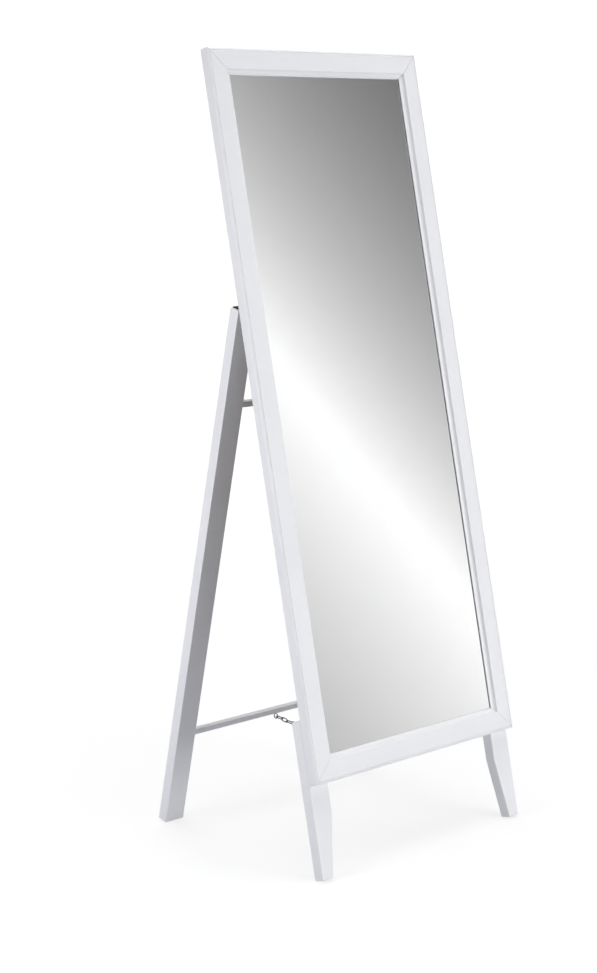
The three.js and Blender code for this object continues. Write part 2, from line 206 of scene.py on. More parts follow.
def moved(axes, x, y, z, turn=ROW):
    """Axes moved by millimetres, and then turned."""
    return axes @ Matrix.Translation(Vector((x, y, z)) * MM) @ turn


def apply_modifiers(obj):
    bpy.context.view_layer.update()
    graph = bpy.context.evaluated_depsgraph_get()
    mesh = bpy.data.meshes.new_from_object(obj.evaluated_get(graph))
    plain = obj.data
    obj.modifiers.clear()
    obj.data = mesh
    bpy.data.meshes.remove(plain)


def combine(obj, others, operation):
    """Cuts the others out of an object (DIFFERENCE) or joins them to it (UNION), and deletes them."""
    for other in others:
        modifier = obj.modifiers.new("combine", "BOOLEAN")
        modifier.operation = operation
        modifier.solver = "EXACT"
        modifier.object = other
    apply_modifiers(obj)
    for other in others:
        bpy.data.objects.remove(other)


def soften(obj, width, segments=3, angle=30):
    """Rounds the edges that are sharper than an angle, by a width in millimetres."""
    modifier = obj.modifiers.new("soften", "BEVEL")
    modifier.limit_method = "ANGLE"
    modifier.angle_limit = math.radians(angle)
    modifier.width = width * MM
    modifier.segments = segments
    apply_modifiers(obj)


def shade(obj):
    """Smooth shading that keeps the flat faces flat."""
    obj.data.polygons.foreach_set("use_smooth", [True] * len(obj.data.polygons))
    obj.data.set_sharp_from_angle(angle=math.radians(48))
    modifier = obj.modifiers.new("normals", "WEIGHTED_NORMAL")
    modifier.keep_sharp = True
    apply_modifiers(obj)


def dress(obj, node, slot, *materials):
    """Gives a piece its materials; the slot is not used. It stands for a node and moves with that node's
    body.
    """
    for material in materials:
        obj.data.materials.append(material)
    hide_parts(node)
    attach(obj, frame["nodes"][node]["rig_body"])
    return obj


# ---- Materials --------------------------------------------------------------------------------------

def add_node(tree, kind, inputs=None, **settings):
    """A node with its settings. An input is a number, a colour or another node's output."""
    node = tree.nodes.new(kind)
    for name, value in settings.items():
        setattr(node, name, value)
    for name, value in (inputs or {}).items():
        if isinstance(value, bpy.types.NodeSocket):
            tree.links.new(value, node.inputs[name])
        else:
            node.inputs[name].default_value = value
    return node


def stretched(tree, scale):
    """The object's own coordinates, scaled along each axis."""
    place = add_node(tree, "ShaderNodeTexCoord").outputs["Object"]
    return add_node(tree, "ShaderNodeMapping", {"Vector": place, "Scale": scale}).outputs["Vector"]


def noise(tree, scale, detail=3.0, roughness=0.5):
    """Noise whose grain is finer the larger the scale is, per metre along each axis."""
    inputs = {"Vector": stretched(tree, scale), "Scale": 1.0, "Detail": detail, "Roughness": roughness}
    return add_node(tree, "ShaderNodeTexNoise", inputs).outputs["Fac"]


def ridges(tree, direction, per_metre):
    """Even bands across the object's X, Y or Z, so many to a metre."""
    bands_per_unit = 20 / (2 * math.pi)
    place = add_node(tree, "ShaderNodeTexCoord").outputs["Object"]
    inputs = {"Vector": place, "Scale": per_metre / bands_per_unit}
    return add_node(tree, "ShaderNodeTexWave", inputs, bands_direction=direction).outputs["Fac"]


def spread(tree, value, low, high, start=0.3, end=0.7):
    """A value's range from start to end, mapped to low and high."""
    inputs = {"Value": value, "From Min": start, "From Max": end, "To Min": low, "To Max": high}
    return add_node(tree, "ShaderNodeMapRange", inputs).outputs["Result"]


def calculate(tree, operation, *values):
    """The result of one step of arithmetic."""
    return add_node(tree, "ShaderNodeMath", dict(enumerate(values)), operation=operation).outputs["Value"]


def blend_colours(tree, factor, first, second):
    """Two colours mixed by a factor."""
    mix = add_node(tree, "ShaderNodeMix", {"Factor": factor}, data_type="RGBA")
    for socket, colour in zip((mix.inputs[6], mix.inputs[7]), (first, second)):
        if isinstance(colour, bpy.types.NodeSocket):
            tree.links.new(colour, socket)
        else:
            socket.default_value = (*colour, 1.0)
    return mix.outputs[2]


def bump(tree, height, depth, strength=1.0, under=None):
    """Relief of a depth in millimetres, on top of another relief."""
    inputs = {"Height": height, "Distance": depth * MM, "Strength": strength}
    if under is not None:
        inputs["Normal"] = under
    return add_node(tree, "ShaderNodeBump", inputs).outputs["Normal"]


def new_material(name):
    """A material, its tree and its shader."""
    material = bpy.data.materials.new(name)
    material.use_nodes = True
    tree = material.node_tree
    return material, tree, tree.nodes["Principled BSDF"]


def set_shader(tree, shader, **inputs):
    """Sets or links the shader's sockets; a name's underscores stand for spaces."""
    for name, value in inputs.items():
        socket = shader.inputs[name.replace("_", " ")]
        if isinstance(value, bpy.types.NodeSocket):
            tree.links.new(value, socket)
        else:
            socket.default_value = value


def white_paint(name, grain):
    """Satin white lacquer. The wood's grain shows faintly through it, along one axis."""
    material, tree, shader = new_material(name)
    along, across = 8.0, 260.0
    scale = [across] * 3
    scale[grain] = along
    fibres = noise(tree, scale, 5.0, 0.6)
    peel = noise(tree, (1500.0,) * 3, 2.0)
    cloud = noise(tree, (9.0,) * 3, 2.0)
    white = blend_colours(tree, spread(tree, cloud, 0.0, 1.0), (0.797, 0.797, 0.805), (0.821, 0.820, 0.826))
    white = blend_colours(tree, spread(tree, fibres, 0.25, 0.0, 0.25, 0.45), white, (0.74, 0.745, 0.75))
    relief = bump(tree, fibres, 0.10, 0.45)
    relief = bump(tree, peel, 0.02, 0.5, relief)
    set_shader(tree, shader, Base_Color=white, Roughness=spread(tree, fibres, 0.34, 0.46), Normal=relief)
    return material


def clear_glass():
    """Float glass with a faint green tint and the slightest waviness."""
    material, tree, shader = new_material("clear_glass")
    wave = noise(tree, (14.0, 14.0, 5.0), 1.0)
    tint = blend_colours(tree, wave, (0.987, 0.990, 0.988), (0.991, 0.994, 0.992))
    relief = bump(tree, wave, 0.01, 0.2)
    set_shader(tree, shader, Base_Color=tint, Roughness=0.0, IOR=1.5, Transmission_Weight=1.0, Normal=relief)
    return material


def silver():
    """The bright side of the silvering, very slightly uneven."""
    material, tree, shader = new_material("silver")
    haze = noise(tree, (30.0,) * 3, 4.0)
    tone = blend_colours(tree, haze, (0.93, 0.93, 0.93), (0.955, 0.955, 0.955))
    set_shader(tree, shader, Base_Color=tone, Metallic=1.0, Roughness=spread(tree, haze, 0.004, 0.012))
    return material


def mirror_backing_paint():
    """The grey paint that protects the silvering from behind."""
    material, tree, shader = new_material("mirror_backing_paint")
    spray = noise(tree, (600.0,) * 3, 4.0)
    tone = blend_colours(tree, spray, (0.16, 0.17, 0.175), (0.22, 0.23, 0.235))
    set_shader(tree, shader, Base_Color=tone, Roughness=0.6, Normal=bump(tree, spray, 0.05, 0.5))
    return material


def hardboard():
    """Brown hardboard, with flecks of fibre and the print of the wire mesh that it was pressed on."""
    material, tree, shader = new_material("hardboard")
    flecks = noise(tree, (420.0, 420.0, 700.0), 7.0, 0.7)
    stain = noise(tree, (6.0,) * 3, 3.0)
    share = spread(tree, flecks, 0.0, 1.0, 0.35, 0.65)
    brown = blend_colours(tree, share, (0.105, 0.056, 0.026), (0.235, 0.142, 0.076))
    brown = blend_colours(tree, spread(tree, stain, 0.0, 0.35), brown, (0.13, 0.078, 0.042))
    mesh_print = calculate(tree, "MULTIPLY", ridges(tree, "X", 700.0), ridges(tree, "Z", 700.0))
    relief = bump(tree, mesh_print, 0.12, 0.6, bump(tree, flecks, 0.08, 0.5))
    set_shader(tree, shader, Base_Color=brown, Roughness=spread(tree, flecks, 0.62, 0.85), Normal=relief)
    return material


def beech():
    """Bare beech, with short dark rays along its grain."""
    material, tree, shader = new_material("beech")
    grain = noise(tree, (60.0, 900.0, 900.0), 5.0, 0.6)
    rays = noise(tree, (500.0, 2600.0, 2600.0), 2.0)
    wood = blend_colours(tree, spread(tree, grain, 0.0, 1.0), (0.52, 0.32, 0.16), (0.66, 0.45, 0.25))
    wood = blend_colours(tree, spread(tree, rays, 0.0, 0.7, 0.6, 0.72), wood, (0.30, 0.16, 0.075))
    set_shader(tree, shader, Base_Color=wood, Roughness=0.62, Normal=bump(tree, grain, 0.05, 0.5))
    return material


def metal(name, dark, light, roughness, wear_scale=900.0):
    """Metal with a cloudy finish and fine scratches."""
    material, tree, shader = new_material(name)
    cloud = noise(tree, (wear_scale / 4,) * 3, 4.0, 0.6)
    scratches = noise(tree, (wear_scale * 3, wear_scale * 3, wear_scale / 6), 3.0, 0.7)
    tone = blend_colours(tree, spread(tree, cloud, 0.0, 1.0, 0.35, 0.7), dark, light)
    gloss = spread(tree, scratches, roughness * 0.8, roughness * 1.35)
    relief = bump(tree, scratches, 0.015, 0.6)
    set_shader(tree, shader, Base_Color=tone, Metallic=1.0, Roughness=gloss, Normal=relief)
    return material


PAINT_ALONG_X = white_paint("white_paint_across", 0)
PAINT_ALONG_Z = white_paint("white_paint_upright", 2)
ZINC = metal("zinc_steel", (0.40, 0.41, 0.43), (0.62, 0.63, 0.65), 0.34)
DARK_STEEL = metal("dark_steel", (0.010, 0.010, 0.010), (0.034, 0.032, 0.031), 0.45)
CHAIN_STEEL = metal("chain_steel", (0.045, 0.043, 0.041), (0.20, 0.195, 0.19), 0.32, 1600.0)
BEECH = beech()


# ---- Fasteners --------------------------------------------------------------------------------------

LEG_SCREW = {"head": 3.8, "shank": 2.0, "length": 30.0, "pitch": 1.9}
LEAF_SCREW = {"head": 2.9, "shank": 1.4, "length": 12.0, "pitch": 1.2}
THREAD_STEPS = 6                        # rows to a turn of thread
POINT_TAPER = 4.0                       # length of a screw's point
THREAD_CORE = 0.72                      # of the shank's radius, between the ridges
SMOOTH_NECK = 0.78                      # of the shank's radius, above the thread
NECK_SHARE = 0.3                        # of a screw's length
SCREW_SPIN = (37.0, 11.0)               # degrees from one head's cross to the next, and of the first


def thread(shank, pitch, height, scale):
    """The radius of a thread at a height, as a function of the angle."""
    core = shank * THREAD_CORE

    def radius(angle):
        turn = (height / pitch - angle / (2 * math.pi)) % 1.0
        ridge = max(0.0, 1.0 - abs(turn - 0.5) * 4.0)
        return scale * (core + (shank - core) * ridge)

    return radius


def thread_rows(shank, pitch, start, end, taper):
    """Rows of thread from its point at the start up to the end."""
    rows = [(start, shank * 0.12)]
    step = pitch / THREAD_STEPS
    count = int((end - start) / step)
    for index in range(1, count + 1):
        height = start + index * step
        scale = min(1.0, 0.2 + 0.8 * (height - start) / taper)
        rows.append((height, thread(shank, pitch, height, scale)))
    return rows


def cross_recess(head):
    """The cutter for a cross recess in a screw's head, with its top at Z = 0."""
    rings = []
    for height, arm, half in ((-0.62 * head, 0.2, 0.1), (0.1, 0.58, 0.15)):
        corner = [(arm, -half), (arm, half), (half, half)]
        ring = [Matrix.Rotation(quarter * math.pi / 2, 2) @ Vector(point)
                for quarter in range(4) for point in corner]
        rings.append([Vector((x * head, y * head, height)) for x, y in ring])
    return skin(rings)


def screw_mesh(name, head, shank, length, pitch):
    """A countersunk cross-head wood screw along -Z, with its head's top at Z = 0."""
    sink = head - shank
    neck = shank * SMOOTH_NECK
    neck_end = -length * NECK_SHARE
    rows = thread_rows(shank, pitch, -length, neck_end, POINT_TAPER)
    rows += [(neck_end + 0.4, neck), (-sink - 0.1, neck), (-sink, shank * 0.9)]
    rows += [(-0.3, head - 0.15), (-0.12, head), (-0.04, head - 0.05), (0, head - 0.16)]
    obj = make_object(name, revolve(rows, 24), ROW)
    combine(obj, [make_object("recess", cross_recess(head), ROW)], "DIFFERENCE")
    shade(obj)
    mesh = obj.data
    bpy.data.objects.remove(obj)
    return mesh


def screw_hole(axes, size):
    """The cutter for a screw's hole and countersink."""
    head, shank, length = size["head"], size["shank"], size["length"]
    rows = [(-length - GAP, shank * 0.4), (-length + POINT_TAPER, shank + GAP),
            (shank - head - GAP, shank + GAP), (0, head + GAP), (3, head + GAP)]
    return make_object("hole", revolve(rows, 24), axes)


def screw_places(axes, node, turn):
    """Axes at the head of a screw, whose length is along the turned Z."""
    low, high = turned_box(node, axes)
    middle = (low + high) / 2
    out = turn.to_3x3() @ Vector((0, 0, 1))
    half = abs((high - low).dot(out)) / 2
    return moved(axes, *(middle + out * half), turn)


def add_screws(nodes, axes, turn, mesh, material, slot):
    """Screws that share one mesh, each turned differently about its own length."""
    step, first = SCREW_SPIN
    for index, node in enumerate(nodes):
        obj = bpy.data.objects.new("fine_" + node, mesh)
        bpy.context.scene.collection.objects.link(obj)
        spin = Matrix.Rotation(math.radians(step * index + first), 4, "Z")
        obj.matrix_world = screw_places(axes, node, turn) @ spin
        if not mesh.materials:
            mesh.materials.append(material)
        dress(obj, node, slot)


def leg_screw_nodes(side):
    return [f"{side}_leg_screw_{number}" for number in (1, 2)]


def frame_leaf_screw_nodes(side):
    return [f"{side}_frame_leaf_screw_{number}" for number in (1, 2)]


def leg_leaf_screw_nodes(side):
    return [f"{side}_leg_leaf_screw_{number}" for number in (1, 2)]


def screw_holes(nodes, axes, turn, size):
    return [screw_hole(screw_places(axes, node, turn), size) for node in nodes]


# ---- Screw eyes -------------------------------------------------------------------------------------

EYE = {"ring": 4.5, "wire": 0.9, "shank": 1.3, "neck": 8.0, "pitch": 1.1}


def eye_cutter(axes, depth):
    """The cutter for a screw eye's pilot hole, below the wood's surface."""
    rows = [(-EYE["neck"] - depth, EYE["shank"]), (-EYE["neck"] + 1, EYE["shank"])]
    return make_object("hole", revolve(rows, 20), axes)


def screw_eye(node, axes, depth):
    """A wire bent into an open ring around the origin, in the YZ plane, with a threaded shank along -Z."""
    tip = -EYE["neck"] - depth
    step = EYE["pitch"] / THREAD_STEPS
    straight = [Vector((0, 0, tip + step * i)) for i in range(int((depth + 1.0) / step))]
    bend = [straight[-1], Vector((0, 0, -6.2))]
    bend += [Vector((0, y, z)) for y, z in arc((0, 0), EYE["ring"], -58, 254, 28)]
    bend = rounded_path(bend, 2)
    points = straight[:-1] + bend
    threaded = len(straight) - 4

    def radius_at(index, angle):
        if index < threaded:
            scale = min(1.0, 0.25 + index / 18)
            return thread(EYE["shank"], EYE["pitch"], points[index].z, scale)(angle)
        fade = min(1.0, (index - threaded) / 10)
        thick = EYE["shank"] * 0.86 * (1 - fade) + EYE["wire"] * fade
        rest = len(points) - 1 - index
        return thick * (0.62 if rest == 0 else 0.9 if rest == 1 else 1.0)

    obj = make_object("fine_" + node, sweep(points, radius_at, 16), axes)
    shade(obj)
    dress(obj, node, "chain_steel", CHAIN_STEEL)


# ---- Mitred frame -----------------------------------------------------------------------------------

EDGE_RADIUS = 3.5                       # of the frame's outer front edge
QUIRK = (1.6, 1.1)                      # width and depth of the fine groove beside that edge
FACE_WIDTH = 34.0                       # from the outer edge to the step down to the glass
STEP = 1.0                              # depth of that step
LIP = 12.6                              # height of the lip beside the glass
LIP_WIDTH = 2.5
LIP_EDGE = 0.6
RABBET_FRONT = 11.3
RABBET_WIDTH = 8.0
MITRE_TRIM = GAP * math.sqrt(0.5)
EASED = 0.35                            # the small round on the mitres and the moulding's edges


def curve_through(start, control, end, steps):
    """Points along a quadratic curve, both ends included."""
    points = []
    for step in range(steps + 1):
        u = step / steps
        weights = ((1 - u) ** 2, 2 * u * (1 - u), u * u)
        points.append(tuple(sum(w * p[k] for w, p in zip(weights, (start, control, end))) for k in (0, 1)))
    return points


def moulding_profile(width, thick):
    """Section of the moulding: pairs of distance in from the outer edge, and height from the back."""
    cove_start = (FACE_WIDTH + 0.5, thick - STEP)
    cove_end = (width - LIP_WIDTH, LIP)
    points = [(0, 0)]
    points += arc((EDGE_RADIUS, thick - EDGE_RADIUS), EDGE_RADIUS, 180, 90, 7)
    points += [(EDGE_RADIUS + QUIRK[0] / 2, thick - QUIRK[1]), (EDGE_RADIUS + QUIRK[0], thick)]
    points += [(FACE_WIDTH, thick)]
    points += curve_through(cove_start, (FACE_WIDTH + 2, LIP + 0.5), cove_end, 8)
    points += [(width - LIP_EDGE, LIP), (width, LIP - LIP_EDGE), (width, RABBET_FRONT)]
    points += [(width - RABBET_WIDTH, RABBET_FRONT), (width - RABBET_WIDTH, 0)]
    return points


def rail(profile, corner, along, inward, length):
    """A length of moulding from an outer back corner of the frame, cut to 45 degrees at both ends."""
    forward = Vector((0, -1, 0))
    rings = []
    for from_end in (False, True):
        ring = []
        for across, height in profile:
            reach = across + MITRE_TRIM
            distance = length - reach if from_end else reach
            ring.append(corner + inward * across + forward * height + along * distance)
        rings.append(ring)
    return skin(rings)


def corner_nails():
    """Each corner nail's node, its middle in the mirror's axes, and the way that it is turned."""
    places = []
    for number, (side, end) in enumerate(((-1, 1), (-1, -1), (1, 1), (1, -1)), 1):
        node = f"corner_nail_{number}"
        low, high = turned_box(node, MIRROR)
        turn = Matrix.Rotation(side * end * math.pi / 4, 4, "Y")
        places.append((node, low, high, turn))
    return places


NAIL_WIDTH = 16.0
NAIL_WAVE = 4.0                         # length of a corrugation
NAIL_STEPS = 40


def add_corner_nails():
    """Corrugated fasteners across the mitres, driven in from behind."""
    for node, low, high, turn in corner_nails():
        middle = (low + high) / 2
        half_depth = (high.y - low.y) / 2
        rings = []
        for step in range(NAIL_STEPS + 1):
            x = NAIL_WIDTH * (step / NAIL_STEPS - 0.5)
            wave = 0.2 * math.sin(2 * math.pi * x / NAIL_WAVE)
            rings.append([Vector((x, y, wave + z)) for y, z in (
                (half_depth, -0.24), (half_depth, 0.24), (-half_depth, 0.08), (-half_depth, -0.08))])
        obj = make_object("fine_" + node, skin(rings), moved(MIRROR, *middle, turn))
        shade(obj)
        dress(obj, node, "zinc_steel", ZINC)


def nail_slots():
    slots = []
    for _, low, high, turn in corner_nails():
        middle = (low + high) / 2
        half = Vector((NAIL_WIDTH / 2 + GAP, (high.y - low.y) / 2, 0.7))
        reach = Vector((0, 2, 0))
        slots.append(make_object("slot", block(-half, half + reach), moved(MIRROR, *middle, turn)))
    return slots


def add_frame():
    names = ("left_stile", "right_stile", "top_rail", "bottom_rail")
    outer = {name: turned_box(name, MIRROR) for name in names}
    left, back, right = outer["left_stile"][0].x, outer["left_stile"][1].y, outer["right_stile"][1].x
    bottom, top = outer["bottom_rail"][0].z, outer["top_rail"][1].z
    width = outer["left_stile"][1].x - left
    profile = moulding_profile(width, back - outer["left_stile"][0].y)
    x, z = Vector((1, 0, 0)), Vector((0, 0, 1))
    rails = {
        "left_stile": ((left, back, bottom), z, x, top - bottom, PAINT_ALONG_Z),
        "right_stile": ((right, back, top), -z, -x, top - bottom, PAINT_ALONG_Z),
        "top_rail": ((left, back, top), x, -z, right - left, PAINT_ALONG_X),
        "bottom_rail": ((right, back, bottom), -x, z, right - left, PAINT_ALONG_X),
    }
    for name, (corner, along, inward, length, material) in rails.items():
        obj = make_object("fine_" + name, rail(profile, Vector(corner), along, inward, length), MIRROR)
        soften(obj, EASED, 2)
        holes = nail_slots()
        if "stile" in name:
            side = name.split("_")[0]
            holes += screw_holes(leg_screw_nodes(side), MIRROR, BACKWARD, LEG_SCREW)
            holes += screw_holes(frame_leaf_screw_nodes(side), MIRROR, BACKWARD, LEAF_SCREW)
        if name == "bottom_rail":
            holes.append(eye_cutter(frame_eye_axes(), EYE_DEPTH["frame_screw_eye"]))
        combine(obj, holes, "DIFFERENCE")
        shade(obj)
        dress(obj, name, "white_paint", material)


# ---- Glass, silvering, backing board and glazing points ---------------------------------------------

CLEAR_GLASS = 1.4                       # in front of the silvering
ARRIS = 0.6                             # the ground edge of the glass
SILVER_EDGE = 0.03


def add_mirror():
    """A pane of clear glass, and behind it the silvering with its painted back."""
    low, high = turned_box("mirror_glass", MIRROR)
    silver_front = low.y + CLEAR_GLASS
    pane = make_object("fine_mirror_glass", block(low, (high.x, silver_front - 0.02, high.z)), MIRROR)
    soften(pane, ARRIS, 1)
    shade(pane)
    dress(pane, "mirror_glass", "mirror", clear_glass())
    pane.visible_shadow = False         # light reaches the rabbet through the glass

    inset = Vector((ARRIS, 0, ARRIS))
    sheet = block(Vector((low.x, silver_front, low.z)) + inset, high - inset)
    silvering = make_object("fine_mirror_silvering", sheet, MIRROR)
    soften(silvering, SILVER_EDGE, 1)
    shade(silvering)
    dress(silvering, "mirror_glass", "mirror", silver(), mirror_backing_paint())
    for face in silvering.data.polygons:
        face.material_index = 0 if face.normal.y < -0.5 else 1


def add_backing_board():
    low, high = turned_box("backing_board", MIRROR)
    board = make_object("fine_backing_board", block(low, high), MIRROR)
    soften(board, 0.4, 2)
    shade(board)
    dress(board, "backing_board", "hardboard", hardboard())


POINT_LENGTH, POINT_WIDTH = 14.0, 9.0


def add_glazing_points():
    """Flat steel points driven into the rabbet behind the board, each with a pressed rib."""
    for number in range(1, 9):
        node = f"glazing_point_{number}"
        low, high = turned_box(node, MIRROR)
        middle = (low + high) / 2
        upright = high.z - low.z > high.x - low.x
        half = Vector((POINT_LENGTH, POINT_WIDTH)) / 2
        thick = (high.y - low.y) / 2
        plate = extrude(rounded_outline(-half, half, 1.6), 1, -thick, thick)
        turn = Matrix.Rotation(math.pi / 2 if upright else 0.0, 4, "Y")
        axes = moved(MIRROR, *middle, turn)
        obj = make_object("fine_" + node, plate, axes)
        rib_rows = [(-3.6, 0.1), (-3.3, 0.45), (-2.4, 0.75), (0, 0.85), (2.4, 0.75), (3.3, 0.45), (3.6, 0.1)]
        rib = make_object("rib", revolve(rib_rows, 16), moved(axes, 0, 0, 0, ALONG_X))
        combine(obj, [rib], "UNION")
        soften(obj, 0.12, 2, 50)
        shade(obj)
        dress(obj, node, "zinc_steel", ZINC)


# ---- Front legs -------------------------------------------------------------------------------------

FOOT_WIDTH = 22.4
TAPER_LENGTH = 104.0                    # of the leg's inner edge, from the floor
LEG_EDGE = 1.3


def add_front_legs():
    for side, sign in SIDES.items():
        node = f"{side}_front_leg"
        low, high = turned_box(node, MIRROR)
        outer, inner = (low.x, high.x) if sign < 0 else (high.x, low.x)
        toe = outer - sign * FOOT_WIDTH
        outline = [(outer, low.z), (toe, low.z), (inner, low.z + TAPER_LENGTH)]
        outline += [(inner, high.z), (outer, high.z)]
        leg = make_object("fine_" + node, extrude(outline, 1, low.y, high.y), MIRROR)
        soften(leg, LEG_EDGE, 3, 20)
        combine(leg, screw_holes(leg_screw_nodes(side), MIRROR, BACKWARD, LEG_SCREW), "DIFFERENCE")
        shade(leg)
        dress(leg, node, "white_paint", PAINT_ALONG_Z)


# ---- Rear support -----------------------------------------------------------------------------------

REAR_LEG_EDGE = 1.6
RUNG_EDGE = 1.2
DOWEL_RADIUS = 2.5
LEVELS = ("lower", "upper")


def dowel_holes(nodes):
    holes = []
    for node in nodes:
        low, high = turned_box(node, SUPPORT)
        middle = (low + high) / 2
        half = (high.x - low.x) / 2 + GAP
        rows = [(-half, DOWEL_RADIUS + GAP), (half, DOWEL_RADIUS + GAP)]
        holes.append(make_object("hole", revolve(rows, 24), moved(SUPPORT, *middle, ALONG_X)))
    return holes


def add_rear_legs():
    for side in SIDES:
        node = f"{side}_rear_leg"
        leg = make_object("fine_" + node, block(*turned_box(node, SUPPORT)), SUPPORT)
        soften(leg, REAR_LEG_EDGE, 4)
        holes = dowel_holes([f"{side}_{level}_dowel" for level in LEVELS])
        holes += screw_holes(leg_leaf_screw_nodes(side), SUPPORT, ROW, LEAF_SCREW)
        combine(leg, holes, "DIFFERENCE")
        shade(leg)
        dress(leg, node, "white_paint", PAINT_ALONG_Z)


def add_rungs():
    for level in LEVELS:
        node = f"{level}_rung"
        rung = make_object("fine_" + node, block(*turned_box(node, SUPPORT)), SUPPORT)
        soften(rung, RUNG_EDGE, 3)
        holes = dowel_holes([f"{side}_{level}_dowel" for side in SIDES])
        if level == "lower":
            holes.append(eye_cutter(rung_eye_axes(), EYE_DEPTH["rung_screw_eye"]))
        combine(rung, holes, "DIFFERENCE")
        shade(rung)
        dress(rung, node, "white_paint", PAINT_ALONG_X)


def add_dowels():
    """Fluted beech dowels with chamfered ends."""
    flutes, flute_depth, chamfer = 12, 0.16, 0.7

    def fluted(angle):
        return DOWEL_RADIUS - flute_depth * (0.5 + 0.5 * math.cos(flutes * angle))

    for side in SIDES:
        for level in LEVELS:
            node = f"{side}_{level}_dowel"
            low, high = turned_box(node, SUPPORT)
            half = (high.x - low.x) / 2
            rows = [(-half, DOWEL_RADIUS - chamfer), (-half + chamfer, fluted),
                    (half - chamfer, fluted), (half, DOWEL_RADIUS - chamfer)]
            axes = moved(SUPPORT, *((low + high) / 2), ALONG_X)
            obj = make_object("fine_" + node, revolve(rows, 72), axes)
            shade(obj)
            dress(obj, node, "beech", BEECH)


# ---- Hinges -----------------------------------------------------------------------------------------

HINGE = {"length": 32.0, "leaf": 17.0, "plate": 1.2, "barrel": 2.2, "bore": 1.4, "pin": 1.1,
         "hole": 10.5, "pitch": 18.0, "corner": 2.0}
LEAF_TURN = Matrix.Rotation(math.pi, 4, Vector((0, 1, 1)))      # lays a leaf down on the leg's top


def knuckle_spans(outer):
    """Where a leaf's knuckles are along the hinge: the outer two, or the middle one."""
    third = HINGE["length"] / 3
    if outer:
        return [(-1.5 * third, -0.5 * third - GAP / 2), (0.5 * third + GAP / 2, 1.5 * third)]
    return [(-0.5 * third + GAP / 2, 0.5 * third - GAP / 2)]


def knuckle(start, end):
    """The rolled end of a leaf around X, with the slit where the curl meets the plate."""
    low = -HINGE["barrel"]
    inner_face = low + HINGE["plate"]
    meets = math.degrees(math.acos(inner_face / HINGE["bore"]))
    outline = [(inner_face, 4.0), (low, 4.0)]
    outline += arc((0, 0), HINGE["barrel"], 180, 468, 30)
    outline += arc((0, 0), HINGE["bore"], 468, meets, 30)
    return extrude(outline, 0, start, end)


def hinge_leaf(node, axes, outer):
    """A leaf whose plate goes up from the pin's axis, with its wood side at Y = -barrel."""
    half = HINGE["length"] / 2
    low = -HINGE["barrel"]
    base = HINGE["barrel"] + GAP + 0.25
    plate_outline = rounded_outline(Vector((-half, base)), Vector((half, HINGE["leaf"])), HINGE["corner"])
    leaf = make_object("fine_" + node, extrude(plate_outline, 1, low, low + HINGE["plate"]), axes)
    knuckles = [make_object("knuckle", knuckle(*span), axes) for span in knuckle_spans(outer)]
    combine(leaf, knuckles, "UNION")
    places = [moved(axes, step * HINGE["pitch"], low + HINGE["plate"], HINGE["hole"], BACKWARD)
              for step in (-0.5, 0.5)]
    combine(leaf, [screw_hole(place, LEAF_SCREW) for place in places], "DIFFERENCE")
    soften(leaf, 0.14, 2, 40)
    shade(leaf)
    dress(leaf, node, "dark_steel", DARK_STEEL)


def hinge_pin(node, axes):
    """A pin along X with a low domed head at each end."""
    half = HINGE["length"] / 2 + GAP
    head = HINGE["barrel"] - 0.4
    dome = [(half, head - 0.1), (half + 0.1, head), (half + 0.45, head * 0.93),
            (half + 0.68, head * 0.7), (half + 0.78, head * 0.4), (half + 0.8, head * 0.12)]
    upper = [(half - 0.01, HINGE["pin"]), *dome]
    lower = [(-height, radius) for height, radius in reversed(upper)]
    obj = make_object("fine_" + node, revolve(lower + upper, 32), axes @ ALONG_X)
    shade(obj)
    dress(obj, node, "dark_steel", DARK_STEEL)


def add_hinges():
    frame_screw = screw_mesh("leaf_screw", **LEAF_SCREW)
    for side in SIDES:
        low, high = turned_box(f"{side}_hinge_pin", MIRROR)
        across = (low.x + high.x) / 2
        on_frame = joint_place("rear_support_fold", MIRROR)
        on_leg = joint_place("rear_support_fold", SUPPORT)
        pin_axes = moved(MIRROR, across, on_frame.y, on_frame.z)
        hinge_leaf(f"{side}_hinge_frame_leaf", pin_axes, True)
        hinge_pin(f"{side}_hinge_pin", pin_axes)
        hinge_leaf(f"{side}_hinge_leg_leaf", moved(SUPPORT, across, on_leg.y, on_leg.z, LEAF_TURN), False)
        add_screws(frame_leaf_screw_nodes(side), MIRROR, BACKWARD, frame_screw, DARK_STEEL, "dark_steel")
        add_screws(leg_leaf_screw_nodes(side), SUPPORT, ROW, frame_screw, DARK_STEEL, "dark_steel")


# ---- Chain ------------------------------------------------------------------------------------------

LINK = {"wire": 0.9, "half_width": 3.1, "half_length": 7.4, "pitch": 13.0, "first": 9.7}
CHAIN_LINKS = {"front": 12, "rear": 13}
CHAIN_SAG = 16.0
EYE_OFFSET = 3.0                        # of each eye from the middle
CHAIN_SPREAD = 2.5                      # further offset of each half's free end
EYE_DEPTH = {"frame_screw_eye": 12.0, "rung_screw_eye": 7.0}
HALF_TURN_DOWN = Matrix.Rotation(math.pi, 4, "X")
CURVE_STEPS = 400


def frame_eye_axes():
    """Axes of the frame's screw eye: it points backward out of the bottom rail."""
    return moved(MIRROR, *joint_place("chain_front_swing", MIRROR), BACKWARD)


def rung_eye_axes():
    """Axes of the rung's screw eye: it hangs down."""
    return moved(SUPPORT, *joint_place("chain_rear_swing", SUPPORT), HALF_TURN_DOWN)


